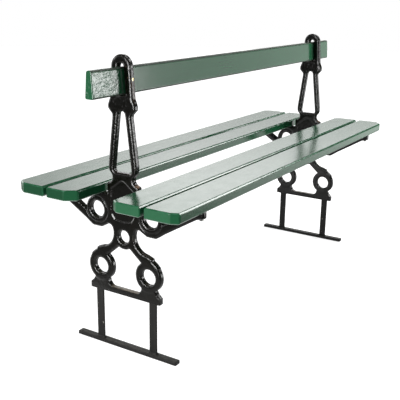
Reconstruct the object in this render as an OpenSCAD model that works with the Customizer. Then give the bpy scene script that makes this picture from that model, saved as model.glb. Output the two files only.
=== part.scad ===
// Double-sided park bench: two flat cast end frames, each standing on two
// flat legs and a ground bar, carry two seats of two planks back to back and
// one shared wedge-shaped back plank.
// +X along the bench, +Y from the front seat to the rear seat, +Z up.
// Origin on the ground under the middle of the bench.

/* [Bench] */
// Distance between the middles of the two end castings
frame_pitch = 1594; // [1200:1:2000]
// Thickness of an end casting, along the bench
cast_t = 26; // [22:1:32]
// Edge break of the recessed panel on the column
panel_depth = 3; // [1:0.5:5]

/* [Seat planks] */
// How far the seat planks run past the outer face of a casting
seat_overhang = 170; // [80:1:220]
// Plank thickness
plank_t = 39; // [34:1:45]
// Distance from the middle of the bench to the inner plank
inner_y = 82; // [78:1:90]
// Width of an inner plank
inner_w = 122.5; // [112:0.5:128]
// Gap between the two planks of a seat
plank_gap = 14; // [8:1:24]
// Width of an outer plank
outer_w = 132; // [124:0.5:140]
// Nominal size of the cut on the two outer corners of each plank pair
corner_cut = 27; // [10:1:32]

/* [Back plank] */
// How far the back plank runs past the outer face of a casting
back_overhang = 161; // [80:1:220]
// Height of the back plank
back_h = 93.5; // [80:0.5:96]
// Thickness along its top edge
back_top_t = 21.4; // [18:0.2:24]
// Thickness along its bottom edge
back_bottom_t = 36.4; // [30:0.2:38]

/* [Casting profile] */
// Height of the ground bar's underside to the top of the loop
top_z = 1100; // [1096:1:1110]
// Height of the floor of the slot that holds the back plank
slot_z = 965.4; // [964:0.2:967]
// Height of the top of the arms, where the seat planks rest
arm_z = 605; // [602:1:607]
// Depth of an arm
arm_h = 22; // [18:1:26]
// Height of the underside of the base plate
base_z = 219; // [215:1:222]
// Half length of the base plate
base_half = 160; // [156:1:166]
// Middle of an upper ring, from the middle of the bench
upper_ring_y = 120; // [118:1:122]
// Height of the middle of an upper ring
upper_ring_z = 536; // [534:1:538]
// Radius of the hole in an upper ring
upper_hole_r = 31; // [26:1:34]
// Middle of a lower ring, from the middle of the bench
lower_ring_y = 108.3; // [107:0.1:110]
// Height of the middle of the hole in a lower ring
lower_ring_z = 316; // [314:1:318]
// Radius of the hole in a lower ring
lower_hole_r = 31; // [26:1:34]
// Height of the hole in the middle of the crossing
eye_z = 449.5; // [447:0.5:452]
// Radius of that hole
eye_r = 24.3; // [20:0.1:26]

/* [Legs and ground bars] */
// Distance from the middle of the bench to the middle of a leg
leg_y = 123.3; // [118:0.1:128]
// Width of a leg, across the bench
leg_w = 32; // [26:1:36]
// Thickness of a leg, along the bench
leg_t = 8; // [6:0.5:12]
// How far a leg runs up inside the base plate
leg_socket = 20; // [14:1:24]
// Length of a ground bar, across the bench
bar_len = 464; // [400:1:520]
// Width of a ground bar, along the bench
bar_w = 29; // [20:1:40]
// Thickness of a ground bar
bar_t = 15; // [10:0.5:18]

/* [Fixings] */
// Thread diameter of the screws that hold the seat planks
seat_screw_d = 8; // [6:1:10]
// Length of those screws under the head
seat_screw_l = 45; // [38:1:48]
// Shank diameter of the screws that hold the back plank
back_screw_d = 5; // [4:0.5:6]
// Length of the back plank screws
back_screw_l = 42; // [36:1:43]

/* [Hidden] */
$fn = 96;
eps = 0.01;

frame_x = frame_pitch/2;
seat_len = frame_pitch + cast_t + 2*seat_overhang;
back_len = frame_pitch + cast_t + 2*back_overhang;
outer_y = inner_y + inner_w + plank_gap;
back_screw_z = slot_z + 52.6;

// The plank corners were cut by hand and differ from plank to plank: share of
// corner_cut taken off along the plank and across it, left end then right end.
cut_front_inner = [[0.67, 0.89], [0.9, 1.1]];
cut_front_outer = [[0.56, 1.16], [1.48, 1.2]];
cut_rear_inner = [[1.15, 1.55], [1, 1.2]];
cut_rear_outer = [[0.96, 1.3], [0.96, 1.3]];

// loop and slot
loop_r = 41.6;                         // outside radius of the arch
loop_z = top_z - loop_r;               // centre of the arch
slot_top_half = back_top_t/2 + 0.3;
slot_bottom_half = back_bottom_t/2 + 0.3;

// rings
upper_ring_R = 51.5;                   // ring round the upper hole
upper_flange_R = 66.5;                 // rim that carries the strut round it
lower_ring_R = 57.5;                   // outside of a lower ring
lower_out_z = lower_ring_z + 2;        // its centre sits a little above the hole
eye_R = 48;                            // boss round the middle hole

// strut under an arm
strut_a = 30.8;                        // slope
strut_in = 33;                         // its upper edge, from the ring's centre
hollow_cx = 106; hollow_cz = 457; hollow_r = 58.6;   // side hollow of the crossing

// lug at the outer end of an arm, where the outer plank is screwed down
lug_y = 325;
lug_pad_z = 577.5;
inner_screw_y = 180;
washer_t = 1.6;
washer_r = 8.5;
head_h = 5.3;
head_af = 13;

casting_black = [0.09, 0.09, 0.08];
leg_black = [0.17, 0.17, 0.15];
enamel_green = [0.16, 0.42, 0.27];
zinc = [0.62, 0.62, 0.6];
brass = [0.75, 0.62, 0.35];

// ---- end casting: flat outlines, x across the bench and y up, laid in the
// ---- plane across the bench and given the thickness of the casting ----

function along(s, d) =
  [upper_ring_y + d*sin(strut_a) + s*cos(strut_a),
   upper_ring_z - d*cos(strut_a) + s*sin(strut_a)];

module slab(t) {
  rotate([90, 0, 90]) translate([0, 0, -t/2]) linear_extrude(height=t) children();
}
module both_sides() {
  children();
  mirror([0, 1, 0]) children();
}

// one side of the loop, the knuckle, the A, its waist and the column
module upright_side() {
  difference() {
    polygon([[-2, loop_z+5], [loop_r-0.5, loop_z+5], [49.4, 956], [49.7, 951],
      [54, 942], [59.3, 927], [59.3, 914], [49, 903], [42, 896], [41, 887],
      [62, 718], [62, 701], [60, 692], [56, 686], [56, 650], [63, 648],
      [70, 644.5], [71, 641], [71, 500], [-2, 500]]);
    translate([68, 668]) circle(r=21.5);
  }
}

// arm, strut and end lug
module arm_side() {
  polygon([[60, arm_z], [339, arm_z], [340, arm_z-1], [340, 581],
    [337.5, 578.3], [309, 571.3], along(0, upper_flange_R-0.1),
    [upper_ring_y, upper_ring_z-3], [60, upper_ring_z-3]]);
}

// flat foot of the rim round the upper ring, with a corner at either end
module rim_foot() {
  polygon([[96.5, 474.5], [99, 471], [105, 469.8], [141.5, 469.6], [145, 471.2],
    [170, 487.7], [upper_ring_y, upper_ring_z]]);
}

// triangular opening between the ring, the strut and the arm
module arm_opening() {
  difference() {
    polygon([[252, arm_z-arm_h], [130, arm_z-arm_h], along(0, strut_in),
      along(125, strut_in), along(132, strut_in), [252, arm_z-arm_h-2]]);
    translate([upper_ring_y, upper_ring_z]) circle(r=upper_ring_R);
  }
}

// soft corner between the rim and the crossing
module rim_corner() {
  difference() {
    polygon([[50, 477], [50, 506], [86, 506], [82, 481.5]]);
    translate([67, 470]) circle(r=17.5);
  }
}

// hollow in the side of the crossing
module side_hollow() translate([hollow_cx, hollow_cz]) circle(r=hollow_r);

// crossing and limb down to the lower ring
module limb_side() {
  difference() {
    polygon([[-2, 505], [71, 505], [71, 470], [60, 430], [80, 404], [96, 400],
      [124, 389.5], [126.8, 386.5], [127.2, 380.5], [139, 373], [152.5, 360.5],
      [158, 345], [lower_ring_y, lower_out_z], [78, 363.6], [26, 407.6], [-2, 407.6]]);
    side_hollow();
  }
}

// boss round the eye, cut by the hollow on either side
module eye_boss() {
  difference() {
    translate([0, eye_z]) circle(r=eye_R);
    side_hollow();
    mirror([1, 0]) side_hollow();
  }
}

// neck of the lower ring and one side of the base plate
module base_side() {
  polygon([[-2, base_z], [base_half, base_z], [base_half, 243], [150, 251],
    [142.5, 259], [140, 266], [lower_ring_y, 300], [77, 268], [75, 258],
    [69.5, 249], [62, 243.3], [54, 241.5], [-2, 241.5]]);
}

// opening of the A, one side
module a_opening_side() {
  polygon([[-2, 907], [0, 907], [6, 906.4], [11.5, 903], [14.6, 896], [39, 700],
    [38.6, 693.5], [34.5, 688.6], [30, 687.5], [-2, 687.5]]);
}

// shallow panel sunk into both faces of the column, under the waist
module panel_profile() {
  polygon([[0, 664], [9, 662], [54, 628], [54, 528], [40, 508], [0, 503],
    [-40, 508], [-54, 528], [-54, 628], [-9, 662]]);
}

module end_casting() {
  t = cast_t;
  deep = cast_t + 2;
  difference() {
    union() {
      both_sides() {
        slab(t) upright_side();
        slab(t) arm_side();
        slab(t) translate([upper_ring_y, upper_ring_z]) circle(r=upper_flange_R);
        slab(t) rim_foot();
        slab(t) rim_corner();
        slab(t) limb_side();
        slab(t) translate([lower_ring_y, lower_out_z]) circle(r=lower_ring_R);
        slab(t) base_side();
      }
      slab(t) eye_boss();
      slab(t) translate([0, loop_z]) circle(r=loop_r);
    }
    both_sides() {
      slab(deep) a_opening_side();
      slab(deep) arm_opening();
      slab(deep) translate([upper_ring_y, upper_ring_z]) circle(r=upper_hole_r);
      slab(deep) translate([lower_ring_y, lower_ring_z]) circle(r=lower_hole_r);
    }
    slab(deep) translate([0, eye_z]) circle(r=eye_r);
    // slot for the back plank, with a round top
    slab(deep) polygon([[-slot_bottom_half, slot_z], [slot_bottom_half, slot_z],
      [slot_top_half, slot_z+back_h], [-slot_top_half, slot_z+back_h]]);
    slab(deep) translate([0, slot_z+back_h]) circle(r=slot_top_half+0.1);
    for (s = [-1, 1])
      translate([s*(cast_t/2 - panel_depth/2 + eps), 0, 0])
        slab(panel_depth + 2*eps) panel_profile();
    // sockets for the legs
    for (s = [-1, 1])
      translate([-leg_t/2-0.2, s*leg_y-leg_w/2-0.2, base_z-1])
        cube([leg_t+0.4, leg_w+0.4, leg_socket+1.4]);
    // holes for the seat screws, with a flat pad under each lug
    for (s = [-1, 1]) {
      for (y = [inner_screw_y, lug_y])
        translate([0, s*y, arm_z-40]) cylinder(d=seat_screw_d+1, h=50);
      translate([0, s*lug_y, lug_pad_z-14]) cylinder(r=washer_r+1, h=14);
    }
    // countersunk holes for the back plank screws
    for (s = [-1, 1]) translate([0, 0, back_screw_z]) rotate([-90*s, 0, 0]) {
      cylinder(d=back_screw_d+0.6, h=60);
      translate([0, 0, 44.4-3.2]) cylinder(d1=back_screw_d+0.6, d2=10.4, h=3.2);
      translate([0, 0, 44.4-eps]) cylinder(d=10.4, h=10);
    }
  }
}

module left_end_casting() color(casting_black)
  translate([-frame_x, 0, 0]) end_casting();
module right_end_casting() color(casting_black)
  translate([frame_x, 0, 0]) end_casting();

// ---- legs and ground bars ----

module leg(x, y) color(leg_black)
  translate([x-leg_t/2, y-leg_w/2, bar_t])
    cube([leg_t, leg_w, base_z+leg_socket-bar_t]);
module left_front_leg() leg(-frame_x, -leg_y);
module left_rear_leg() leg(-frame_x, leg_y);
module right_front_leg() leg(frame_x, -leg_y);
module right_rear_leg() leg(frame_x, leg_y);

module ground_bar(x) color(leg_black)
  translate([x-bar_w/2, -bar_len/2, 0]) cube([bar_w, bar_len, bar_t]);
module left_ground_bar() ground_bar(-frame_x);
module right_ground_bar() ground_bar(frame_x);

// ---- planks ----

// plank from y0 outwards, w wide, with the corners on one long edge cut off
module seat_plank(y0, w, cut_outer, share, side, screw_y) color(enamel_green) {
  lx = corner_cut*share[0][0];
  ly = corner_cut*share[0][1];
  rx = corner_cut*share[1][0];
  ry = corner_cut*share[1][1];
  difference() {
    mirror([0, side < 0 ? 1 : 0, 0]) translate([0, 0, arm_z])
      linear_extrude(height=plank_t)
        polygon(cut_outer
          ? [[-seat_len/2, y0], [seat_len/2, y0], [seat_len/2, y0+w-ry],
             [seat_len/2-rx, y0+w], [-seat_len/2+lx, y0+w],
             [-seat_len/2, y0+w-ly]]
          : [[-seat_len/2+lx, y0], [seat_len/2-rx, y0],
             [seat_len/2, y0+ry], [seat_len/2, y0+w],
             [-seat_len/2, y0+w], [-seat_len/2, y0+ly]]);
    for (x = [-frame_x, frame_x])
      translate([x, side*screw_y, arm_z-1]) cylinder(d=seat_screw_d, h=28);
  }
}

module front_seat_inner_plank()
  seat_plank(inner_y, inner_w, false, cut_front_inner, -1, inner_screw_y);
module front_seat_outer_plank()
  seat_plank(outer_y, outer_w, true, cut_front_outer, -1, lug_y);
module rear_seat_inner_plank()
  seat_plank(inner_y, inner_w, false, cut_rear_inner, 1, inner_screw_y);
module rear_seat_outer_plank()
  seat_plank(outer_y, outer_w, true, cut_rear_outer, 1, lug_y);

// wedge-section plank, thicker along its bottom edge
module back_plank() color(enamel_green)
  difference() {
    slab(back_len) polygon([[-back_bottom_t/2, slot_z], [back_bottom_t/2, slot_z],
      [back_top_t/2, slot_z+back_h], [-back_top_t/2, slot_z+back_h]]);
    for (x = [-frame_x, frame_x], s = [-1, 1])
      translate([x, 0, back_screw_z]) rotate([-90*s, 0, 0])
        translate([0, 0, 44-back_screw_l]) cylinder(d=back_screw_d, h=30);
  }

// ---- fixings ----

// hexagon-head wood screw standing on its head, underside of the head at z = 0
module seat_screw() {
  translate([0, 0, -head_h]) cylinder(d=head_af/cos(30), h=head_h, $fn=6);
  cylinder(d=seat_screw_d, h=seat_screw_l-7, $fn=48);
  translate([0, 0, seat_screw_l-7]) cylinder(d1=seat_screw_d, d2=1, h=7, $fn=48);
}

module seat_screws(x) color(zinc)
  for (s = [-1, 1]) {
    translate([x, s*inner_screw_y, arm_z-arm_h-washer_t]) seat_screw();
    translate([x, s*lug_y, lug_pad_z-washer_t]) seat_screw();
  }
module left_seat_screws() seat_screws(-frame_x);
module right_seat_screws() seat_screws(frame_x);

module washer() difference() {
  cylinder(r=washer_r, h=washer_t, $fn=64);
  translate([0, 0, -1]) cylinder(d=seat_screw_d+0.2, h=washer_t+2, $fn=64);
}
module seat_washers(x) color(zinc)
  for (s = [-1, 1]) {
    translate([x, s*inner_screw_y, arm_z-arm_h-washer_t]) washer();
    translate([x, s*lug_y, lug_pad_z-washer_t]) washer();
  }
module left_seat_washers() seat_washers(-frame_x);
module right_seat_washers() seat_washers(frame_x);

// countersunk screw along +Z, top of the head at z = 0, with a straight slot
module back_screw() difference() {
  union() {
    translate([0, 0, -3]) cylinder(d1=back_screw_d, d2=10, h=3, $fn=64);
    translate([0, 0, -back_screw_l+6]) cylinder(d=back_screw_d, h=back_screw_l-9, $fn=48);
    translate([0, 0, -back_screw_l]) cylinder(d1=0.8, d2=back_screw_d, h=6, $fn=48);
  }
  translate([-6, -0.7, -1.2]) cube([12, 1.4, 2]);
}
module back_screws(x) color(brass)
  for (s = [-1, 1])
    translate([x, s*44.2, back_screw_z]) rotate([-90*s, 0, 0]) back_screw();
module left_back_screws() back_screws(-frame_x);
module right_back_screws() back_screws(frame_x);

left_end_casting();
right_end_casting();
left_front_leg();
left_rear_leg();
right_front_leg();
right_rear_leg();
left_ground_bar();
right_ground_bar();
front_seat_inner_plank();
front_seat_outer_plank();
rear_seat_inner_plank();
rear_seat_outer_plank();
back_plank();
left_seat_screws();
right_seat_screws();
left_seat_washers();
right_seat_washers();
left_back_screws();
right_back_screws();
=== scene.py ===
"""Double-sided park bench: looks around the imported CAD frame."""

import math

import bmesh
import bpy
import numpy as np
from mathutils import Matrix, Vector
from mathutils.geometry import delaunay_2d_cdt
from mathutils.kdtree import KDTree


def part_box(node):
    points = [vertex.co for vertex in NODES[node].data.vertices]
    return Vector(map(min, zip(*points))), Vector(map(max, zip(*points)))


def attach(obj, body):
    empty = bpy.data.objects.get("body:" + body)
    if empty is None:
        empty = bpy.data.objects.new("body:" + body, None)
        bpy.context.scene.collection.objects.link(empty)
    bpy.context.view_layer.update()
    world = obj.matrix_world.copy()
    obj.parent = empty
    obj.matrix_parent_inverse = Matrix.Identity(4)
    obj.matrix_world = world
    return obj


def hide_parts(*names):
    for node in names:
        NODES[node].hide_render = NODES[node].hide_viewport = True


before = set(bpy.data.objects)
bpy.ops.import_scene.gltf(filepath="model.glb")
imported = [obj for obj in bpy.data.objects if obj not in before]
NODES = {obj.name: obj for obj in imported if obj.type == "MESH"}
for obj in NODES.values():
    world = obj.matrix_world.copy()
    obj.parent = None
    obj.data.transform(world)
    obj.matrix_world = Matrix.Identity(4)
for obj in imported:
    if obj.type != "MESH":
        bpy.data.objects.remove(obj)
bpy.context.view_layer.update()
SCENE = bpy.context.scene
MM = 0.001


# ---------------------------------------------------------------- camera

def add_camera():
    eye = np.array([-2691.1, -1502.1, 1307.4])
    aim = np.array([94.5, 240.0, 328.2])
    roll = 0.014
    w = aim - eye
    w /= np.linalg.norm(w)
    r = np.cross(w, [0, 0, 1.0])
    r /= np.linalg.norm(r)
    u = np.cross(r, w)
    c, s = math.cos(roll), math.sin(roll)
    x_axis, y_axis = c * r + s * u, -s * r + c * u
    data = bpy.data.cameras.new("camera")
    data.sensor_fit = "HORIZONTAL"
    data.sensor_width = 36.0
    data.lens = 63.24
    data.clip_start, data.clip_end = 0.05, 200.0
    cam = bpy.data.objects.new("camera", data)
    SCENE.collection.objects.link(cam)
    m = Matrix.Identity(4)
    for i in range(3):
        m[i][0], m[i][1], m[i][2], m[i][3] = x_axis[i], y_axis[i], -w[i], eye[i] * MM
    cam.matrix_world = m
    SCENE.camera = cam


add_camera()


# ---------------------------------------------------------------- node graphs

class Graph:
    """Small helper that writes shader nodes as expressions."""

    def __init__(self, tree):
        self.tree = tree

    def put(self, kind, **settings):
        node = self.tree.nodes.new(kind)
        for k, v in settings.items():
            setattr(node, k, v)
        return node

    def feed(self, socket, value):
        if isinstance(value, bpy.types.NodeSocket):
            self.tree.links.new(value, socket)
        elif value is not None:
            socket.default_value = value

    def math(self, op, a, b=None, c=None, clamp=False):
        n = self.put("ShaderNodeMath", operation=op, use_clamp=clamp)
        for i, v in enumerate((a, b, c)):
            self.feed(n.inputs[i], v)
        return n.outputs[0]

    def vmath(self, op, a, b=None):
        n = self.put("ShaderNodeVectorMath", operation=op)
        self.feed(n.inputs[0], a)
        self.feed(n.inputs[1], b)
        return n.outputs[0]

    def step(self, x, a, b, lo=0.0, hi=1.0, kind="SMOOTHSTEP"):
        n = self.put("ShaderNodeMapRange", interpolation_type=kind, clamp=True)
        self.feed(n.inputs["Value"], x)
        self.feed(n.inputs["From Min"], a)
        self.feed(n.inputs["From Max"], b)
        self.feed(n.inputs["To Min"], lo)
        self.feed(n.inputs["To Max"], hi)
        return n.outputs["Result"]

    def noise(self, vector, scale, detail=4.0, rough=0.5, distortion=0.0, out="Fac"):
        n = self.put("ShaderNodeTexNoise")
        self.feed(n.inputs["Vector"], vector)
        n.inputs["Scale"].default_value = scale
        n.inputs["Detail"].default_value = detail
        n.inputs["Roughness"].default_value = rough
        n.inputs["Distortion"].default_value = distortion
        return n.outputs[out]

    def cells(self, vector, scale, feature="F1", rand=1.0):
        n = self.put("ShaderNodeTexVoronoi", feature=feature)
        self.feed(n.inputs["Vector"], vector)
        n.inputs["Scale"].default_value = scale
        n.inputs["Randomness"].default_value = rand
        return n.outputs["Distance"]

    def stretch(self, vector, scale):
        n = self.put("ShaderNodeMapping")
        self.feed(n.inputs["Vector"], vector)
        n.inputs["Scale"].default_value = scale
        return n.outputs[0]

    def mix(self, fac, a, b, blend="MIX"):
        n = self.put("ShaderNodeMix", data_type="RGBA", blend_type=blend)
        self.feed(n.inputs["Factor"], fac)
        self.feed(n.inputs["A"], a if isinstance(a, bpy.types.NodeSocket) else (*a, 1.0))
        self.feed(n.inputs["B"], b if isinstance(b, bpy.types.NodeSocket) else (*b, 1.0))
        return n.outputs["Result"]

    def bump(self, height, distance, strength=1.0, normal=None):
        n = self.put("ShaderNodeBump")
        n.inputs["Strength"].default_value = strength
        n.inputs["Distance"].default_value = distance
        self.feed(n.inputs["Height"], height)
        self.feed(n.inputs["Normal"], normal)
        return n.outputs["Normal"]

    def attribute(self, name):
        return self.put("ShaderNodeAttribute", attribute_type="GEOMETRY", attribute_name=name).outputs["Fac"]


def new_material(name):
    m = bpy.data.materials.new(name)
    m.use_nodes = True
    g = Graph(m.node_tree)
    bsdf = m.node_tree.nodes["Principled BSDF"]
    where = g.put("ShaderNodeTexCoord").outputs["Object"]
    facing = g.put("ShaderNodeSeparateXYZ")
    g.feed(facing.inputs[0], g.put("ShaderNodeNewGeometry").outputs["Normal"])
    return m, g, bsdf, where, facing.outputs


def enamel_material(name, tone=1.0, end_light_shade=1.0, peel_strength=0.30, crazing_and_edge_shade=False):
    """Gloss green enamel brushed over planed boards, with painted light and shade on the end faces and arrises."""
    m, g, b, p, n = new_material(name)
    grain_p = g.stretch(p, (3.0, 62.0, 62.0))
    grain = g.noise(grain_p, 1.6, 6.0, 0.62, 0.6)
    fine = g.noise(g.stretch(p, (9.0, 260.0, 260.0)), 1.0, 3.0, 0.5)
    patch = g.noise(p, 3.2, 3.0, 0.55)
    base = g.mix(g.step(patch, 0.32, 0.70), (0.0080 * tone, 0.061 * tone, 0.0250 * tone),
                 (0.0100 * tone, 0.071 * tone, 0.0295 * tone))
    base = g.mix(g.math("MULTIPLY", g.step(grain, 0.30, 0.72), 0.35), base,
                 (0.0062 * tone, 0.050 * tone, 0.0200 * tone))
    # paint drawn thin over the worn arrises
    edge = g.attribute("edge")
    scuff = g.noise(p, 34.0, 5.0, 0.65)
    wear = g.math("MULTIPLY", g.step(edge, 0.25, 0.95), g.step(scuff, 0.42, 0.66))
    base = g.mix(g.math("MULTIPLY", wear, 0.55), base, (0.040, 0.130, 0.075))
    # painted highlight: a pale line on the downward-facing arrises, standing in for the floor's reflection there
    low = g.math("MULTIPLY", g.step(g.math("MULTIPLY", n[2], -1.0), 0.22, 0.62), g.step(edge, 0.3, 0.8))
    base = g.mix(g.math("MULTIPLY", low, 0.60), base, (0.20, 0.29, 0.23))
    # painted light and shade: end faces (normal along X) are scaled brighter or darker per seat to stand in for how the
    # key light falls on them; brightened ends also get a painted pale sheen
    end = g.math("MULTIPLY", g.step(g.math("ABSOLUTE", n[0]), 0.90, 0.99), 1.0)
    painted_end_sheen = 0.007 if end_light_shade > 1.0 else 0.0
    dull = g.mix(1.0, g.mix(1.0, base, (end_light_shade, end_light_shade, end_light_shade), "MULTIPLY"), (painted_end_sheen, painted_end_sheen, painted_end_sheen), "ADD")
    base = g.mix(end, base, dull)
    if crazing_and_edge_shade:
        # painted shade: the back board's arrises darkened to stand in for the dark room they mirror, in place of
        # highlights
        painted_edge_shade = g.math("MULTIPLY", g.step(edge, 0.10, 0.45), g.step(g.math("ABSOLUTE", n[0]), 0.25, 0.60, 1.0, 0.0))
        base = g.mix(g.math("MULTIPLY", painted_edge_shade, 0.85), base, (0.016, 0.022, 0.015))
    g.feed(b.inputs["Base Color"], base)
    rough = g.math("ADD", 0.105, g.math("MULTIPLY", g.noise(p, 22.0, 4.0, 0.6), 0.070))
    rough = g.math("ADD", rough, g.math("MULTIPLY", wear, 0.03))
    rough = g.math("ADD", rough, g.math("MULTIPLY", end, 0.06))
    rough = g.math("ADD", rough, g.math("MULTIPLY", g.step(n[2], 0.96, 1.0), 0.07))
    if crazing_and_edge_shade:
        rough = g.math("ADD", rough, g.math("MULTIPLY", painted_edge_shade, 0.42))
    g.feed(b.inputs["Roughness"], rough)
    b.inputs["IOR"].default_value = 1.5
    # orange peel, brush strokes and raised grain under the paint
    peel = g.noise(g.stretch(p, (26.0, 60.0, 60.0)), 1.0, 3.0, 0.5, 0.4)
    nrm = g.bump(peel, 0.0007, peel_strength)
    nrm = g.bump(grain, 0.0005, 0.7 * peel_strength, nrm)
    if crazing_and_edge_shade:
        # thick, crazed paint on the end that sticks out past the casting
        at = g.put("ShaderNodeSeparateXYZ")
        g.feed(at.inputs[0], p)
        here = g.math("MULTIPLY", g.step(at.outputs[0], -0.80, -0.86), g.step(at.outputs[2], 0.990, 1.055, 1.0, 0.62))
        crazed = g.noise(g.stretch(p, (55.0, 60.0, 120.0)), 1.0, 2.0, 0.5, 0.4)
        pits = g.noise(g.stretch(p, (34.0, 60.0, 150.0)), 1.0, 2.0, 0.5, 0.6)
        crazed = g.math("SUBTRACT", g.math("SUBTRACT", crazed, 0.5), g.math("MULTIPLY", g.step(pits, 0.58, 0.64), 0.70))
        nrm = g.bump(g.math("MULTIPLY", crazed, here), 0.0012, 0.42, nrm)
    nrm = g.bump(fine, 0.00012, 0.30, nrm)
    g.feed(b.inputs["Normal"], nrm)
    return m


def casting_material(name):
    """Gloss black paint over a sand casting, with rust freckles and dust on the ledges."""
    m, g, b, p, n = new_material(name)
    patch = g.noise(p, 9.0, 4.0, 0.6)
    base = g.mix(g.step(patch, 0.3, 0.7), (0.0009, 0.0009, 0.0004), (0.0020, 0.0019, 0.0010))
    speck = g.noise(p, 310.0, 3.0, 0.6)
    base = g.mix(g.math("MULTIPLY", g.step(speck, 0.60, 0.74), 0.35), base, (0.017, 0.016, 0.013))
    edge = g.attribute("edge")
    scuff = g.noise(p, 58.0, 5.0, 0.7)
    wear = g.math("MULTIPLY", g.step(edge, 0.35, 0.9), g.step(scuff, 0.50, 0.68))
    base = g.mix(g.math("MULTIPLY", wear, 0.5), base, (0.050, 0.046, 0.040))
    # brown bloom on upward ledges
    ledge = g.step(n[2], 0.72, 0.97)
    z = g.put("ShaderNodeSeparateXYZ")
    g.feed(z.inputs[0], p)
    low = g.step(z.outputs[2], 0.235, 0.262, 1.0, 0.0)
    dust = g.math("MULTIPLY", ledge, g.math("MAXIMUM", g.math("MULTIPLY", low, 0.85), 0.14))
    dust = g.math("MULTIPLY", dust, g.step(g.noise(p, 26.0, 5.0, 0.65), 0.30, 0.66, 0.45, 1.0))
    base = g.mix(dust, base, (0.150, 0.122, 0.090))
    rust_n = g.noise(p, 17.0, 6.0, 0.72)
    rust = g.math("MULTIPLY", g.step(rust_n, 0.64, 0.73), g.step(g.noise(p, 130.0, 3.0, 0.6), 0.40, 0.62))
    # rust gathers on the shoulder of the column and below the side screws
    shoulder = g.math("MULTIPLY", g.step(z.outputs[2], 0.634, 0.640), g.step(z.outputs[2], 0.652, 0.658, 1.0, 0.0))
    front = g.step(z.outputs[1], -0.052, -0.060)
    shoulder = g.math("MULTIPLY", shoulder, g.math("MULTIPLY", front, g.step(n[2], 0.3, 0.8)))
    shoulder = g.math("MULTIPLY", shoulder, g.step(g.noise(p, 120.0, 4.0, 0.6), 0.38, 0.58))
    streak = g.math("MULTIPLY", g.step(z.outputs[2], 0.930, 0.960), g.step(z.outputs[2], 1.008, 1.016, 1.0, 0.0))
    streak = g.math("MULTIPLY", streak, g.math("MULTIPLY", g.step(g.math("ABSOLUTE", n[1]), 0.75, 0.95), g.step(z.outputs[0], 0.0, -0.1)))
    streak = g.math("MULTIPLY", streak, g.step(g.noise(g.stretch(p, (1.0, 1.0, 0.22)), 190.0, 4.0, 0.6), 0.44, 0.62))
    rust = g.math("MAXIMUM", g.math("MULTIPLY", rust, 0.42), g.math("MAXIMUM", g.math("MULTIPLY", shoulder, 0.9), g.math("MULTIPLY", streak, 0.40)))
    base = g.mix(rust, base, (0.165, 0.092, 0.050))
    g.feed(b.inputs["Base Color"], base)
    rough = g.math("ADD", 0.10, g.math("MULTIPLY", g.noise(p, 46.0, 5.0, 0.6), 0.15))
    rough = g.math("ADD", rough, g.math("MULTIPLY", g.math("MAXIMUM", dust, rust), 0.30), clamp=True)
    g.feed(b.inputs["Roughness"], rough)
    b.inputs["IOR"].default_value = 1.46
    sand = g.noise(p, 430.0, 4.0, 0.55)
    pebble = g.noise(p, 130.0, 3.0, 0.55, 0.3)
    wave = g.noise(p, 38.0, 3.0, 0.5)
    lumps = g.math("MULTIPLY", g.math("SUBTRACT", pebble, 0.5), g.step(edge, 0.05, 0.6, 0.40, 1.15))
    loop = g.math("MULTIPLY", g.step(z.outputs[2], 0.945, 0.975), g.step(g.math("ABSOLUTE", n[1]), 0.5, 0.9))
    lumps = g.math("MULTIPLY", lumps, g.math("ADD", 1.0, loop))
    knuckle = g.math("MULTIPLY", g.step(z.outputs[2], 0.895, 0.910), g.step(z.outputs[2], 0.950, 0.962, 1.0, 0.0))
    relief = g.math("MULTIPLY", g.step(g.noise(p, 42.0, 1.0, 0.3), 0.44, 0.66), knuckle)
    nrm = g.bump(relief, 0.0030, 0.26)
    nrm = g.bump(wave, 0.0030, 0.26, nrm)
    nrm = g.bump(lumps, 0.0020, 0.62, nrm)
    nrm = g.bump(sand, 0.00022, 0.40, nrm)
    g.feed(b.inputs["Normal"], nrm)
    return m


def leg_material(name):
    """Satin black paint on rolled flat iron."""
    m, g, b, p, n = new_material(name)
    patch = g.noise(p, 14.0, 5.0, 0.62)
    base = g.mix(g.step(patch, 0.3, 0.7), (0.0040, 0.0040, 0.0034), (0.0074, 0.0072, 0.0062))
    mottle = g.noise(p, 120.0, 4.0, 0.6)
    base = g.mix(g.math("MULTIPLY", g.step(mottle, 0.55, 0.72), 0.5), base, (0.019, 0.018, 0.016))
    edge = g.attribute("edge")
    wear = g.math("MULTIPLY", g.step(edge, 0.25, 0.9), g.step(g.noise(p, 70.0, 5.0, 0.7), 0.44, 0.66))
    base = g.mix(g.math("MULTIPLY", wear, 0.45), base, (0.048, 0.046, 0.041))
    top = g.math("MULTIPLY", g.step(n[2], 0.80, 0.98), g.step(g.noise(p, 40.0, 5.0, 0.65), 0.34, 0.62, 0.35, 1.0))
    base = g.mix(g.math("MULTIPLY", top, 0.62), base, (0.034, 0.032, 0.026))
    chip = g.step(g.noise(p, 95.0, 2.0, 0.5), 0.735, 0.765)
    base = g.mix(chip, base, (0.20, 0.19, 0.17))
    g.feed(b.inputs["Base Color"], base)
    g.feed(b.inputs["Roughness"], g.math("ADD", 0.40, g.math("MULTIPLY", g.noise(p, 60.0, 4.0, 0.6), 0.22)))
    b.inputs["IOR"].default_value = 1.45
    b.inputs["Specular IOR Level"].default_value = 0.35
    nrm = g.bump(g.noise(p, 52.0, 4.0, 0.55), 0.0016, 0.42)
    nrm = g.bump(g.noise(p, 330.0, 4.0, 0.6), 0.0003, 0.55, nrm)
    g.feed(b.inputs["Normal"], nrm)
    return m


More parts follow.
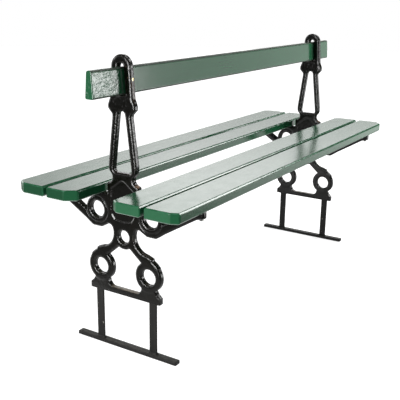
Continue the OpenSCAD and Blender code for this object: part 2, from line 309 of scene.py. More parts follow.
def painted_screw_material(name):
    """Screw heads that went under the black paint with the casting."""
    m, g, b, p, n = new_material(name)
    base = g.mix(g.step(g.noise(p, 300.0, 4.0, 0.6), 0.4, 0.7), (0.006, 0.006, 0.005), (0.030, 0.026, 0.020))
    g.feed(b.inputs["Base Color"], base)
    g.feed(b.inputs["Roughness"], g.step(g.noise(p, 420.0, 3.0, 0.6), 0.3, 0.7, 0.22, 0.45))
    b.inputs["IOR"].default_value = 1.5
    g.feed(b.inputs["Normal"], g.bump(g.noise(p, 700.0, 3.0, 0.6), 0.0002, 0.5))
    return m


def metal_material(name, bright, dull, stain, rough_lo, rough_hi):
    m, g, b, p, n = new_material(name)
    tarnish = g.noise(p, 240.0, 5.0, 0.65)
    base = g.mix(g.step(tarnish, 0.35, 0.68), bright, dull)
    spot = g.step(g.noise(p, 620.0, 3.0, 0.6), 0.58, 0.70)
    base = g.mix(g.math("MULTIPLY", spot, 0.6), base, stain)
    g.feed(b.inputs["Base Color"], base)
    b.inputs["Metallic"].default_value = 1.0
    g.feed(b.inputs["Roughness"], g.step(g.noise(p, 500.0, 4.0, 0.6), 0.3, 0.7, rough_lo, rough_hi))
    turned = g.noise(g.stretch(p, (1.0, 1.0, 6.0)), 900.0, 3.0, 0.6)
    g.feed(b.inputs["Normal"], g.bump(turned, 0.00012, 0.5))
    return m


# lit and shaded copies of one enamel: front seat ends painted brighter with a sheen, rear seat ends painted darker,
# back board ends slightly darker
ENAMEL_FRONT_LIT_ENDS = enamel_material("green_enamel_front_seat_lit_ends", 1.0, 1.10)
ENAMEL_REAR_SHADED_ENDS = enamel_material("green_enamel_rear_seat_shaded_ends", 0.94, 0.69)
ENAMEL_BACK = enamel_material("green_enamel_back_plank", 0.98, 0.95, 0.14, True)
CAST_BLACK = casting_material("black_gloss_casting")
LEG_BLACK = leg_material("black_satin_iron")
ZINC = metal_material("zinc_fastener", (0.62, 0.62, 0.60), (0.42, 0.42, 0.41), (0.20, 0.17, 0.14), 0.22, 0.42)
PAINTED = painted_screw_material("painted_screw")
BRASS = metal_material("brass_screw", (0.86, 0.70, 0.38), (0.62, 0.47, 0.22), (0.16, 0.09, 0.04), 0.16, 0.36)


# ---------------------------------------------------------------- CAD outlines

def flat_face_loops(obj, axis, value, tol=0.02):
    """Closed outlines, in mm, of the flat CAD face at axis = value (mm)."""
    me = obj.data
    me.calc_loop_triangles()
    co = np.empty(len(me.vertices) * 3)
    me.vertices.foreach_get("co", co)
    co = co.reshape(-1, 3) * 1000.0
    tri = np.empty(len(me.loop_triangles) * 3, np.int64)
    me.loop_triangles.foreach_get("vertices", tri)
    tri = tri.reshape(-1, 3)
    on = np.abs(co[:, axis] - value) < tol
    tri = tri[on[tri].all(1)]
    keep = [a for a in range(3) if a != axis]
    used = np.unique(tri)
    kd = KDTree(len(used))
    for i in used:
        kd.insert(Vector(co[i]), int(i))
    kd.balance()
    first = {}
    for i in used:
        near = kd.find_range(Vector(co[i]), tol)
        first[int(i)] = min(q[1] for q in near)
    directed = {}
    for t in tri:
        a = [first[int(i)] for i in t]
        if len(set(a)) < 3:
            continue
        for k in range(3):
            e = (a[k], a[(k + 1) % 3])
            directed[e] = directed.get(e, 0) + 1
    border = {}
    for (a, b) in directed:
        if (b, a) not in directed:
            border.setdefault(a, []).append(b)
    loops = []
    while border:
        start = next(iter(border))
        path, here = [start], start
        while True:
            nxt = border[here].pop()
            if not border[here]:
                del border[here]
            if nxt == start:
                break
            path.append(nxt)
            here = nxt
        loops.append(co[path][:, keep])
    return loops


def area(p):
    q = np.roll(p, -1, 0)
    return 0.5 * float((p[:, 0] * q[:, 1] - q[:, 0] * p[:, 1]).sum())


def soften(p, sigma, step=0.5):
    """Even samples along a closed outline, its corners eased as a foundry pattern's are."""
    q = np.vstack([p, p[:1]])
    seg = np.linalg.norm(np.diff(q, axis=0), axis=1)
    s = np.concatenate([[0], np.cumsum(seg)])
    total = s[-1]
    m = max(64, int(round(total / step)))
    t = np.arange(m) * total / m
    pts = np.stack([np.interp(t, s, q[:, k]) for k in (0, 1)], 1)
    f = np.fft.fftfreq(m, total / m)
    gain = np.exp(-2.0 * (math.pi * sigma * f) ** 2)
    return np.stack([np.fft.ifft(np.fft.fft(pts[:, k]) * gain).real for k in (0, 1)], 1)


def thin_out(p, far=7.0, sag=0.045, turn=13.0):
    """Indices of the samples that keep a closed outline's shape."""
    n = len(p)
    tan = np.roll(p, -1, 0) - np.roll(p, 1, 0)
    ang = np.unwrap(np.arctan2(tan[:, 1], tan[:, 0]))
    keep, i = [0], 0
    limit = math.radians(turn)
    while True:
        j = i + 1
        while j < n:
            a, b = p[i], p[j]
            d = b - a
            length = math.hypot(*d)
            if length > far or abs(ang[j] - ang[i]) > limit:
                break
            if j - i > 1 and length > 0:
                mid = p[i + 1:j] - a
                if np.abs(mid[:, 0] * d[1] - mid[:, 1] * d[0]).max() / length > sag:
                    break
            j += 1
        j = max(i + 1, j - 1)
        if j >= n - 1:
            break
        keep.append(j)
        i = j
    return keep


class Outline:
    """All edges of a flat casting: signed distance to the nearest one, in mm."""

    def __init__(self, loops):
        self.p = np.vstack(loops)
        tangents = []
        for l in loops:
            t = np.roll(l, -1, 0) - np.roll(l, 1, 0)
            tangents.append(t / np.linalg.norm(t, axis=1)[:, None])
        t = np.vstack(tangents)
        self.inward = np.stack([-t[:, 1], t[:, 0]], 1)
        self.nxt, self.prv, k = [], [], 0
        for l in loops:
            i = np.arange(len(l))
            self.nxt.append(k + (i + 1) % len(l))
            self.prv.append(k + (i - 1) % len(l))
            k += len(l)
        self.nxt, self.prv = np.concatenate(self.nxt), np.concatenate(self.prv)
        self.kd = KDTree(len(self.p))
        for i, q in enumerate(self.p):
            self.kd.insert((q[0], q[1], 0.0), i)
        self.kd.balance()

    def measure(self, pts):
        near = np.array([self.kd.find((q[0], q[1], 0.0))[1] for q in pts])
        best = np.full(len(pts), 1e9)
        for other in (self.nxt, self.prv):
            a, b = self.p[near], self.p[other[near]]
            ab = b - a
            t = np.clip(((pts - a) * ab).sum(1) / (ab * ab).sum(1), 0, 1)
            best = np.minimum(best, np.linalg.norm(pts - a - ab * t[:, None], axis=1))
        side = ((pts - self.p[near]) * self.inward[near]).sum(1)
        return best, side > 0


def eased(x):
    x = np.clip(x, 0, 1)
    return x * x * (3 - 2 * x)


UPPER_RING = (120.0, 536.0)
LOWER_RING = (108.3, 318.0)


def roundings(q):
    """How far an edge's rounding runs over the face, and how deep it goes, in mm."""
    up = eased((q[:, 1] - 262.0) / 60.0)
    run, deep = 6.0 + 4.6 * up, 4.6 + 2.8 * up
    slot = eased((q[:, 1] - 958.0) / 16.0) * eased((31.0 - np.abs(q[:, 0])) / 3.0) * eased((1092.0 - q[:, 1]) / 8.0)
    return run + 3.4 * slot, deep + 1.2 * slot


def calm(value, tri, share, rounds=8):
    """Averages a value over neighbouring points where share says so."""
    a = np.concatenate([tri[:, 0], tri[:, 1], tri[:, 2], tri[:, 1], tri[:, 2], tri[:, 0]])
    b = np.concatenate([tri[:, 1], tri[:, 2], tri[:, 0], tri[:, 0], tri[:, 1], tri[:, 2]])
    count = np.maximum(np.bincount(a, minlength=len(value)), 1)
    for _ in range(rounds):
        mean = np.bincount(a, weights=value[b], minlength=len(value)) / count
        value = value + 0.7 * share * (mean - value)
    return value


def casting_surface(node, half_t, recess):
    """The casting's profile as a rounded, watertight surface: rows of (y, z, offset from the middle)."""
    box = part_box(node)
    x_face = box[0].x * 1000.0
    loops = flat_face_loops(NODES[node], 0, x_face)
    loops.sort(key=lambda l: -abs(area(l)))
    outer = loops[0] if area(loops[0]) > 0 else loops[0][::-1]
    holes, panel = [], None
    for l in loops[1:]:
        if abs(area(l)) < 4.0:
            continue
        c = l.mean(0)
        if abs(c[0]) < 5 and 550 < c[1] < 620:
            panel = l if area(l) > 0 else l[::-1]
        else:
            holes.append(l if area(l) < 0 else l[::-1])
    edges = [soften(outer, 1.8)] + [soften(h, 1.7) for h in holes]
    shape = Outline(edges)
    sunk = Outline([soften(panel, 3.0)])
    points, border, tests = [], [], []
    kept = []
    for e in edges:
        k = thin_out(e)
        tangent = np.roll(e, -1, 0) - np.roll(e, 1, 0)
        tangent /= np.linalg.norm(tangent, axis=1)[:, None]
        inward = np.stack([-tangent[:, 1], tangent[:, 0]], 1)[k]
        ring = list(range(len(points), len(points) + len(k)))
        points.extend(e[k])
        border.append(ring)
        kept.append((e[k], inward))
    n_border = len(points)
    depths = (0.3, 1.0, 2.0, 3.3, 4.8, 6.6, 8.6, 10.8)
    cell = {}

    def crowded(q, gap):
        i, j = int(q[0] // 2), int(q[1] // 2)
        for a in (i - 1, i, i + 1):
            for b in (j - 1, j, j + 1):
                for r in cell.get((a, b), ()):
                    if (r[0] - q[0]) ** 2 + (r[1] - q[1]) ** 2 < gap * gap:
                        return True
        return False

    def accept(q):
        cell.setdefault((int(q[0] // 2), int(q[1] // 2)), []).append(q)
        points.append(q)

    for q in points:
        cell.setdefault((int(q[0] // 2), int(q[1] // 2)), []).append(q)
    for d in depths:
        for pts, inward in kept:
            ring = pts + inward * d
            dist, inside = shape.measure(ring)
            for q, dd, ok in zip(ring, dist, inside):
                if ok and dd > d * 0.93 - 0.01 and not crowded(q, min(0.16 + 0.12 * d, 0.8)):
                    accept(q)
    # rows that follow the ring grooves and the step down to the base plate
    for cy, cz, radii, top in ((UPPER_RING[0], UPPER_RING[1], (45.0, 47.0, 48.7, 50.4, 52.1, 54.1), 999.0),
                               (LOWER_RING[0], LOWER_RING[1], (57.0, 58.6, 60.2, 61.8), 279.0)):
        for rr in radii:
            a = np.arange(int(2 * math.pi * rr / 3.0)) * (3.0 / rr)
            for sgn in (-1, 1):
                ring = np.stack([sgn * (cy + rr * np.cos(a)), cz + rr * np.sin(a)], 1)
                dist, inside = shape.measure(ring)
                for q, dd, ok in zip(ring, dist, inside):
                    if ok and dd > 1.2 and q[1] < top and not crowded(q, 1.0):
                        accept(q)
    # rows that follow the sunk panel
    ps = soften(panel, 3.0)
    k = thin_out(ps, 8.0)
    tangent = np.roll(ps, -1, 0) - np.roll(ps, 1, 0)
    tangent /= np.linalg.norm(tangent, axis=1)[:, None]
    inward = np.stack([-tangent[:, 1], tangent[:, 0]], 1)[k]
    for d in (0.0, 1.0, 2.0, 3.2, 4.5, 6.0, 8.0, 9.6):
        ring = ps[k] + inward * d
        dist, inside = sunk.measure(ring)
        for q, dd in zip(ring, dist):
            if dd > d * 0.9 - 0.05 and not crowded(q, 0.6):
                accept(q)
    # loose grid over the flats
    lo, hi = shape.p.min(0), shape.p.max(0)
    pitch = 7.5
    grid = []
    for j, zz in enumerate(np.arange(lo[1], hi[1], pitch * 0.87)):
        for yy in np.arange(lo[0] + (j % 2) * pitch / 2, hi[0], pitch):
            grid.append((yy, zz))
    grid = np.array(grid)
    dist, inside = shape.measure(grid)
    pd, _ = sunk.measure(grid)
    for q, dd, ok, pp in zip(grid, dist, inside, pd):
        if ok and dd > (12.4 if q[1] > 250 else 8.0) and pp > 10.5 and not crowded(q, 2.4):
            accept(q)
    pts = np.array(points)
    segs = []
    for ring in border:
        segs += [(a, b) for a, b in zip(ring, ring[1:] + ring[:1])]
    out = delaunay_2d_cdt([Vector(q) for q in pts], segs, [], 0, 1e-5, True)
    verts = np.array([tuple(v) for v in out[0]])
    back = {}
    for i, orig in enumerate(out[3]):
        for o in orig:
            back[o] = i
    tri = np.array([f for f in out[2] if len(f) == 3])
    mid = verts[tri].mean(1)
    _, inside = shape.measure(mid)
    a, b, c = verts[tri[:, 0]], verts[tri[:, 1]], verts[tri[:, 2]]
    turn = (b[:, 0] - a[:, 0]) * (c[:, 1] - a[:, 1]) - (b[:, 1] - a[:, 1]) * (c[:, 0] - a[:, 0])
    tri = tri[inside & (np.abs(turn) > 1e-7)]
    turn = turn[inside & (np.abs(turn) > 1e-7)]
    tri = np.where(turn[:, None] > 0, tri, tri[:, ::-1])
    dist, _ = shape.measure(verts)
    rings = [[back[i] for i in ring] for ring in border]
    for ring in rings:
        dist[ring] = 0.0
    # full, elliptical roundings, tighter on the base plate and fullest beside the slot
    run, deep = roundings(verts)
    inset = np.clip(1 - dist / run, 0, 1)
    drop = deep * (1 - np.sqrt(np.maximum(1 - inset ** 2, 0)))
    drop = calm(drop, tri, eased((dist / run - 0.45) / 0.3))
    pdist, pin = sunk.measure(verts)
    drop = drop + recess * eased(np.where(pin, pdist, 0) / 8.0)
    clear = eased(dist / 6.0)
    r_up = np.hypot(np.abs(verts[:, 0]) - UPPER_RING[0], verts[:, 1] - UPPER_RING[1])
    drop = drop + 1.5 * clear * eased(1 - np.abs(r_up - 49.8) / 4.8)
    r_low = np.hypot(np.abs(verts[:, 0]) - LOWER_RING[0], verts[:, 1] - LOWER_RING[1])
    drop = drop + 1.3 * clear * eased((r_low - 56.8) / 4.6) * eased((283.0 - verts[:, 1]) / 14.0)
    edge = np.clip(1 - np.abs(dist - 0.30 * run) / (0.62 * run), 0, 1)
    rim = np.clip(1 - np.abs(np.where(pin, pdist, -pdist) - 1.5) / 3.0, 0, 1)
    edge = np.maximum(edge, 0.8 * rim)
    return verts, tri, half_t - drop, rings, edge


def make_object(name, verts, faces, material, smooth=True):
    me = bpy.data.meshes.new(name)
    me.from_pydata([tuple(map(float, v)) for v in verts], [], [tuple(map(int, f)) for f in faces])
    me.update()
    if smooth:
        me.polygons.foreach_set("use_smooth", [True] * len(me.polygons))
    me.materials.append(material)
    ob = bpy.data.objects.new(name, me)
    SCENE.collection.objects.link(ob)
    return ob


def set_edge_attribute(ob, values):
    a = ob.data.attributes.get("edge") or ob.data.attributes.new("edge", "FLOAT", "POINT")
    a.data.foreach_set("value", np.asarray(values, np.float32))


def settle(ob):
    """Applies the modifiers, so the mesh is final."""
    bpy.context.view_layer.update()
    deps = bpy.context.evaluated_depsgraph_get()
    me = bpy.data.meshes.new_from_object(ob.evaluated_get(deps), preserve_all_data_layers=True, depsgraph=deps)
    old = ob.data
    ob.modifiers.clear()
    ob.data = me
    me.name = ob.name
    bpy.data.meshes.remove(old)
    return ob


def casting_piece(name, node, surface, x_mid):
    """Both faces and the wall between them, from one profile."""
    verts, tri, off, rings, edge = surface
    n = len(verts)
    left = np.column_stack([x_mid - off, verts[:, 0], verts[:, 1]])
    right = np.column_stack([x_mid + off, verts[:, 0], verts[:, 1]])
    all_v, all_e = [left, right], [edge, edge]
    # seen from +X, (y, z) runs counter-clockwise
    faces = [tuple(t) for t in tri + n] + [tuple(t[::-1]) for t in tri]
    count = 2 * n
    for ring in rings:
        m = len(ring)
        rows = [np.array(ring)]
        for share in (1 / 3.0, 2 / 3.0):
            row = left[ring] * (1 - share) + right[ring] * share
            rows.append(np.arange(count, count + m))
            all_v.append(row)
            all_e.append(np.zeros(m))
            count += m
        rows.append(np.array(ring) + n)
        for a, b in zip(rows, rows[1:]):
            for i in range(m):
                j = (i + 1) % m
                faces.append((a[i], a[j], b[j], b[i]))
    co = np.vstack(all_v) * MM
    ob = make_object(name, co, faces, CAST_BLACK)
    set_edge_attribute(ob, np.concatenate(all_e))
    bm = bmesh.new()
    bm.from_mesh(ob.data)
    bmesh.ops.recalc_face_normals(bm, faces=bm.faces)
    bm.to_mesh(ob.data)
    bm.free()
    return ob


def lathe(name, outline, origin, axis, count=40):
    """A turned closed solid: outline is (distance along axis, radius) in mm."""
    axis = Vector(axis).normalized()
    side = axis.orthogonal().normalized()
    other = axis.cross(side)
    verts, faces = [], []
    for s, r in outline:
        for i in range(count):
            a = 2 * math.pi * i / count
            verts.append(Vector(origin) + axis * s + (side * math.cos(a) + other * math.sin(a)) * r)
    for k in range(len(outline) - 1):
        for i in range(count):
            j = (i + 1) % count
            faces.append((k * count + i, k * count + j, (k + 1) * count + j, (k + 1) * count + i))
    faces.append(tuple(range(count))[::-1])
    faces.append(tuple((len(outline) - 1) * count + i for i in range(count)))
    me = bpy.data.meshes.new(name)
    me.from_pydata([tuple(v * MM) for v in verts], [], faces)
    bm = bmesh.new()
    bm.from_mesh(me)
    bmesh.ops.recalc_face_normals(bm, faces=bm.faces)
    bm.to_mesh(me)
    bm.free()
    ob = bpy.data.objects.new(name, me)
    SCENE.collection.objects.link(ob)
    return ob


def cut(ob, cutter):
    mod = ob.modifiers.new("cut", "BOOLEAN")
    mod.operation = "DIFFERENCE"
    mod.solver = "EXACT"
    mod.object = cutter
    settle(ob)
    data = cutter.data
    bpy.data.objects.remove(cutter)
    bpy.data.meshes.remove(data)


SURFACE = casting_surface("left_end_casting", 13.0, 3.0)
for side in ("left", "right"):
    node = side + "_end_casting"
    lo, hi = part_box(node)
    x_mid = (lo.x + hi.x) * 500.0
    skin = casting_piece(side + "_casting_body", node, SURFACE, x_mid)
    for s in (-1, 1):
        cut(skin, lathe("countersink", [(40.6, 2.6), (44.3, 5.3), (58.0, 5.6)], (x_mid, 0, 1018.0), (0, s, 0)))
    skin.data.set_sharp_from_angle(angle=math.radians(42))
    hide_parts(node)
    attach(skin, "root")


# ---------------------------------------------------------------- boards and bars

def prism(name, loop, axis, lo, hi, material, round_long, round_end, segments=6, round_corner=None, profile=0.5):
    """A bar whose section or plan is loop (mm), rounded along its length (X) by round_long and at its ends by round_end."""
    bm = bmesh.new()
    rows = []
    for level in (lo, hi):
        row = []
        for a, b in loop:
            co = [0.0, 0.0, 0.0]
            others = [k for k in range(3) if k != axis]
            co[others[0]], co[others[1]], co[axis] = a, b, level
            row.append(bm.verts.new([c * MM for c in co]))
        rows.append(row)
    n = len(loop)
    bm.faces.new(rows[0])
    bm.faces.new(rows[1])
    for i in range(n):
        j = (i + 1) % n
        bm.faces.new((rows[0][i], rows[0][j], rows[1][j], rows[1][i]))
    bmesh.ops.recalc_face_normals(bm, faces=bm.faces)
    weight = bm.edges.layers.float.new("bevel_weight_edge")
    for e in bm.edges:
        d = (e.verts[1].co - e.verts[0].co).normalized()
        if abs(d.x) > 0.9:
            r = round_long
        elif abs(d.z) > 0.9 and round_corner is not None:
            r = round_corner
        else:
            r = round_end
        e[weight] = r / round_long
    flats = [f.normal.copy() for f in bm.faces]
    me = bpy.data.meshes.new(name)
    bm.to_mesh(me)
    bm.free()
    me.polygons.foreach_set("use_smooth", [True] * len(me.polygons))
    me.materials.append(material)
    ob = bpy.data.objects.new(name, me)
    SCENE.collection.objects.link(ob)
    mod = ob.modifiers.new("rounding", "BEVEL")
    mod.limit_method = "WEIGHT"
    mod.offset_type = "OFFSET"
    mod.width = round_long * MM
    mod.segments = segments
    mod.profile = profile
    mod.use_clamp_overlap = True
    mod.harden_normals = True
    settle(ob)
    me = ob.data
    normals = np.array([p.normal for p in me.polygons])
    flat = np.array([[f.x, f.y, f.z] for f in flats])
    best = (normals @ flat.T).max(1)
    value = np.full(len(me.vertices), 1.0)
    for p, dot in zip(me.polygons, best):
        turn = math.degrees(math.acos(min(1.0, float(dot))))
        for v in p.vertices:
            value[v] = min(value[v], 0.0 if turn < 1.0 else min(1.0, turn / 36.0))
    set_edge_attribute(ob, value)
    return ob


def seat_board(name, node, material):
    lo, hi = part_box(node)
    loop = flat_face_loops(NODES[node], 2, hi.z * 1000.0)[0]
    loop = tidy(loop)
    ob = prism(name, loop, 2, lo.z * 1000.0, hi.z * 1000.0, material, 7.0, 4.2, 7, 4.6, 0.285)
    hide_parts(node)
    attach(ob, "root")
    return ob


def tidy(loop, tol=0.02):
    """Drops points that lie on a straight run."""
    out = []
    n = len(loop)
    for i in range(n):
        a, b, c = loop[i - 1], loop[i], loop[(i + 1) % n]
        ab, bc = b - a, c - b
        if abs(ab[0] * bc[1] - ab[1] * bc[0]) > tol * max(1.0, np.linalg.norm(ab)):
            out.append(b)
    return np.array(out)


for name, material in (("front_seat_inner", ENAMEL_FRONT_LIT_ENDS), ("front_seat_outer", ENAMEL_FRONT_LIT_ENDS),
                       ("rear_seat_inner", ENAMEL_REAR_SHADED_ENDS), ("rear_seat_outer", ENAMEL_REAR_SHADED_ENDS)):
    seat_board(name + "_board", name + "_plank", material)

lo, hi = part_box("back_plank")
section = tidy(flat_face_loops(NODES["back_plank"], 0, lo.x * 1000.0)[0])
back = prism("back_board", section, 0, lo.x * 1000.0, hi.x * 1000.0, ENAMEL_BACK, 8.5, 3.6, 8)
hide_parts("back_plank")
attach(back, "root")


def rect(u0, u1, v0, v1):
    return np.array([(u0, v0), (u1, v0), (u1, v1), (u0, v1)])


def bar_from_node(name, node, axis, long_r, end_r):
    lo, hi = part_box(node)
    lo, hi = [c * 1000.0 for c in lo], [c * 1000.0 for c in hi]
    o = [k for k in range(3) if k != axis]
    loop = rect(lo[o[0]], hi[o[0]], lo[o[1]], hi[o[1]])
    ob = prism(name, loop, axis, lo[axis], hi[axis], LEG_BLACK, long_r, end_r, 4, end_r)
    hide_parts(node)
    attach(ob, "root")
    return ob


for side in ("left", "right"):
    bar_from_node(side + "_ground_iron", side + "_ground_bar", 1, 3.2, 3.2)
    for end in ("front", "rear"):
        bar_from_node(f"{side}_{end}_leg_iron", f"{side}_{end}_leg", 2, 1.8, 1.8)


def weld(name, leg_node, bar_node, seed):
    """The lumpy fillet weld round a leg's foot on its ground bar."""
    rng = np.random.default_rng(seed)
    lo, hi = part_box(leg_node)
    z0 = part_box(bar_node)[1].z * 1000.0
    x0, x1, y0, y1 = lo.x * 1000, hi.x * 1000, lo.y * 1000, hi.y * 1000
    corner = 1.2
    path = []
    for cx, cy, a0 in ((x1 - corner, y1 - corner, 0), (x0 + corner, y1 - corner, 90),
                       (x0 + corner, y0 + corner, 180), (x1 - corner, y0 + corner, 270)):
        for a in np.linspace(a0, a0 + 90, 7):
            r = math.radians(a)
            path.append((cx + corner * math.cos(r), cy + corner * math.sin(r), math.cos(r), math.sin(r)))
    path = np.array(path)
    q = np.vstack([path, path[:1]])
    s = np.concatenate([[0], np.cumsum(np.linalg.norm(np.diff(q[:, :2], axis=0), axis=1))])
    m = 110
    t = np.arange(m) * s[-1] / m
    ring = np.stack([np.interp(t, s, q[:, k]) for k in range(4)], 1)
    phase = rng.uniform(0, 6.28, 6)
    verts, faces, edge = [], [], []
    k = 9
    for i, (x, y, nx, ny) in enumerate(ring):
        a = 2 * math.pi * i / m
        wob = sum(math.sin((j + 2) * a + phase[j]) for j in range(6)) / 6
        ripple = 0.28 * math.sin(34 * a + 1.4 * wob)
        run = 4.6 + 1.1 * wob + ripple
        rise = 5.2 + 1.5 * wob + ripple
        nn = math.hypot(nx, ny)
        nx, ny = nx / nn, ny / nn
        prof = [(-1.0, -1.0), (-1.0, rise)]
        for j in range(k):
            b = math.pi / 2 * (1 - j / (k - 1))
            bulge = 0.80 + 0.20 * math.cos(2 * b) ** 2
            prof.append((run * math.cos(b) * bulge, rise * math.sin(b) * bulge))
        prof.append((run, -1.0))
        for u, v in prof:
            verts.append(((x + nx * u) * MM, (y + ny * u) * MM, (z0 + v) * MM))
            edge.append(0.3)
    w = k + 3
    for i in range(m):
        j = (i + 1) % m
        for c in range(w):
            d = (c + 1) % w
            faces.append((i * w + c, j * w + c, j * w + d, i * w + d))
    ob = make_object(name, verts, faces, LEG_BLACK)
    set_edge_attribute(ob, edge)
    bm = bmesh.new()
    bm.from_mesh(ob.data)
    bmesh.ops.recalc_face_normals(bm, faces=bm.faces)
    bm.to_mesh(ob.data)
    bm.free()
    ob.data.set_sharp_from_angle(angle=math.radians(60))
    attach(ob, "root")


for i, side in enumerate(("left", "right")):
    for j, end in enumerate(("front", "rear")):
        weld(f"{side}_{end}_foot_weld", f"{side}_{end}_leg", side + "_ground_bar", 11 + 2 * i + j)


# ---------------------------------------------------------------- fasteners keep their CAD shape

for name, ob in NODES.items():
    if ob.hide_render:
        continue
    material = {"left_back_screws": BRASS, "right_back_screws": PAINTED}.get(name, ZINC)
    if not ob.material_slots:
        ob.data.materials.append(material)
    for s in ob.material_slots:
        s.material = material


# ---------------------------------------------------------------- stage

def add_floor():
    me = bpy.data.meshes.new("floor")
    n, r = 96, 14.0
    verts = [(0, 0, 0)] + [(r * math.cos(2 * math.pi * i / n), r * math.sin(2 * math.pi * i / n), 0) for i in range(n)]
    me.from_pydata([(x, y, -0.0003) for x, y, _ in verts], [], [(0, i + 1, (i + 1) % n + 1) for i in range(n)])
    ob = bpy.data.objects.new("floor", me)
    SCENE.collection.objects.link(ob)
    m = bpy.data.materials.new("pale_floor")
    m.use_nodes = True
    tree = m.node_tree
    tree.nodes.clear()
    g = Graph(tree)
    p = g.put("ShaderNodeTexCoord").outputs["Object"]
    at = g.put("ShaderNodeSeparateXYZ")
    g.feed(at.inputs[0], p)
    x, y = at.outputs[0], at.outputs[1]

    def pool(cx, cy, rx, ry, inner, outer):
        u = g.math("DIVIDE", g.math("SUBTRACT", x, cx), rx)
        v = g.math("DIVIDE", g.math("SUBTRACT", y, cy), ry)
        r = g.math("SQRT", g.math("ADD", g.math("MULTIPLY", u, u), g.math("MULTIPLY", v, v)))
        return g.step(r, inner, outer, 1.0, 0.0)

    # painted light: what the bench mirrors and takes bounce from is the floor's own glow, with pools of light painted
    # on it rather than lamp light
    seen = g.math("ADD", 0.10, g.math("MULTIPLY", pool(-1.5, 0.5, 1.0, 1.0, 0.9, 2.6), 0.13))
    seen = g.math("ADD", seen, g.math("MULTIPLY", pool(0.1, -0.1, 1.7, 0.85, 0.75, 1.35), 0.40))
    right = g.math("MULTIPLY", g.step(x, 0.0, 1.6), g.step(y, -0.2, -0.9))
    seen = g.math("ADD", seen, g.math("MULTIPLY", right, g.step(x, 2.2, 4.0, 0.96, 1.45)))
    flank = g.math("MULTIPLY", g.step(y, -1.60, -1.90), g.math("MULTIPLY", g.step(x, 0.5, 1.0), g.step(x, 3.0, 3.6, 1.0, 0.0)))
    seen = g.math("ADD", seen, g.math("MULTIPLY", flank, 6.0))
    behind = g.math("MULTIPLY", g.math("MULTIPLY", g.step(y, 0.25, 0.60), g.step(y, 1.7, 2.4, 1.0, 0.35)), g.math("MULTIPLY", g.step(x, -1.30, -1.02), g.step(x, -0.60, -0.10, 1.0, 0.0)))
    sweep = g.math("MULTIPLY", g.step(y, 2.5, 3.0), g.math("MULTIPLY", g.step(x, -3.6, -2.2), g.step(x, -0.90, -0.30, 1.0, 0.0)))
    seen = g.math("ADD", seen, g.math("ADD", g.math("MULTIPLY", behind, 1.6), g.math("MULTIPLY", sweep, 4.2)))
    mirror = g.put("ShaderNodeEmission")
    g.feed(mirror.inputs["Strength"], seen)
    lit = g.put("ShaderNodeBsdfDiffuse")
    g.feed(lit.inputs["Color"], g.mix(g.noise(p, 5.0, 3.0), (0.50, 0.50, 0.50), (0.53, 0.53, 0.53)))
    lift = g.put("ShaderNodeEmission")
    far = g.math("SQRT", g.math("ADD", g.math("MULTIPLY", x, x), g.math("MULTIPLY", y, y)))
    g.feed(lift.inputs["Strength"], g.step(far, 1.6, 4.0, 0.80, 1.03))
    both = g.put("ShaderNodeAddShader")
    g.feed(both.inputs[0], lit.outputs[0])
    g.feed(both.inputs[1], lift.outputs[0])
    pick = g.put("ShaderNodeMixShader")
    g.feed(pick.inputs[0], g.put("ShaderNodeLightPath").outputs["Is Camera Ray"])
    g.feed(pick.inputs[1], mirror.outputs[0])
    g.feed(pick.inputs[2], both.outputs[0])
    out = g.put("ShaderNodeOutputMaterial")
    g.feed(out.inputs[0], pick.outputs[0])
    me.materials.append(m)


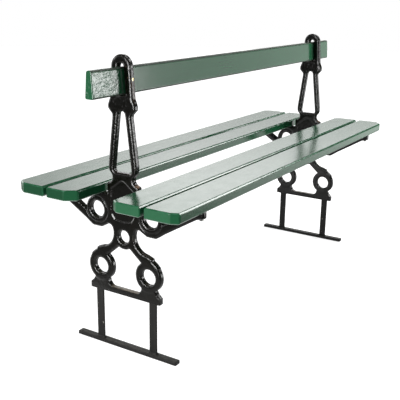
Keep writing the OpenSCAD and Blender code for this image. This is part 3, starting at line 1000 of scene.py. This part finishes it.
def add_world():
    world = bpy.data.worlds.new("studio")
    SCENE.world = world
    world.use_nodes = True
    tree = world.node_tree
    tree.nodes.clear()
    g = Graph(tree)
    d = g.put("ShaderNodeSeparateXYZ")
    g.feed(d.inputs[0], g.put("ShaderNodeTexCoord").outputs["Generated"])
    x, y, z = d.outputs
    el = g.math("MULTIPLY", g.math("ARCSINE", z), 57.29578)
    az = g.math("MULTIPLY", g.math("ARCTAN2", y, x), 57.29578)
    # a dark room
    light = g.step(z, -0.1, 0.9, 0.10, 0.16)
    # bright backdrop mirrored by the seats
    band = g.math("MULTIPLY", g.step(el, 9.0, 18.5, 0.28, 4.5), g.step(el, 20.0, 25.0, 1.0, 0.0))
    band = g.math("MULTIPLY", band, g.math("MULTIPLY", g.step(az, 33.0, 50.0, 1.0, 0.35), g.step(az, 2.0, 14.0)))
    light = g.math("ADD", light, band)
    back = g.math("MULTIPLY", g.step(el, -8.0, -2.0), g.step(el, 14.0, 22.0, 1.0, 0.0))
    back = g.math("MULTIPLY", back, g.math("MULTIPLY", g.step(az, 45.0, 60.0), g.step(az, 116.0, 138.0, 1.0, 0.0)))
    light = g.math("ADD", light, g.math("MULTIPLY", back, 2.2))
    # low soft box in front to the right, and the wall that it lights
    box = g.math("MULTIPLY", g.step(el, -3.9, -2.7), g.step(el, 2.6, 4.6, 1.0, 0.0))
    box = g.math("MULTIPLY", box, g.math("MULTIPLY", g.step(az, -62.0, -57.0), g.step(az, -41.0, -39.0, 1.0, 0.0)))
    light = g.math("ADD", light, g.math("MULTIPLY", box, 14.5))
    wall = g.math("MULTIPLY", g.step(el, -14.0, -4.0), g.step(el, 3.0, 6.0, 1.0, 0.0))
    wall = g.math("MULTIPLY", wall, g.math("MULTIPLY", g.step(az, -50.0, -44.0), g.step(az, -14.0, -4.0, 1.0, 0.0)))
    wall = g.math("MULTIPLY", wall, g.step(az, -38.5, -30.0, 1.22, 1.08))
    light = g.math("ADD", light, wall)
    # large lamp high in front to the right, mirrored by the near half of the long edges
    strip = g.math("MULTIPLY", g.step(el, 22.5, 25.5), g.step(el, 35.5, 38.0, 15.0, 0.0))
    strip = g.math("MULTIPLY", strip, g.math("MULTIPLY", g.step(az, -27.0, -23.5), g.step(az, -17.0, -15.0, 1.0, 0.0)))
    light = g.math("ADD", light, strip)
    bg = g.put("ShaderNodeBackground")
    bg.inputs["Color"].default_value = (1, 1, 1, 1)
    g.feed(bg.inputs["Strength"], light)
    white = g.put("ShaderNodeBackground")
    white.inputs["Color"].default_value = (1, 1, 1, 1)
    white.inputs["Strength"].default_value = 1.0
    pick = g.put("ShaderNodeMixShader")
    g.feed(pick.inputs[0], g.put("ShaderNodeLightPath").outputs["Is Camera Ray"])
    g.feed(pick.inputs[1], bg.outputs[0])
    g.feed(pick.inputs[2], white.outputs[0])
    out = g.put("ShaderNodeOutputWorld")
    g.feed(out.inputs[0], pick.outputs[0])


def add_area(name, at, aim, size, power, spread=180.0):
    data = bpy.data.lights.new(name, "AREA")
    data.shape = "RECTANGLE"
    data.size, data.size_y = size
    data.energy = power
    data.spread = math.radians(spread)
    ob = bpy.data.objects.new(name, data)
    ob.location = at
    ob.rotation_euler = (Vector(aim) - Vector(at)).to_track_quat("-Z", "Y").to_euler()
    SCENE.collection.objects.link(ob)
    return ob


add_floor()
add_world()
add_area("overhead", (0.4, -0.3, 4.3), (0, 0, 0.4), (1.6, 1.2), 48.0)
add_area("right_fill", (2.6, -1.7, 1.6), (0.6, -0.2, 0.7), (0.7, 0.7), 92.0).visible_glossy = False
add_area("left_key", (-2.75, -0.05, 1.0), (-0.98, -0.20, 0.60), (1.1, 1.0), 68.0)
SCENE.view_settings.view_transform = "Standard"
SCENE.view_settings.look = "None"
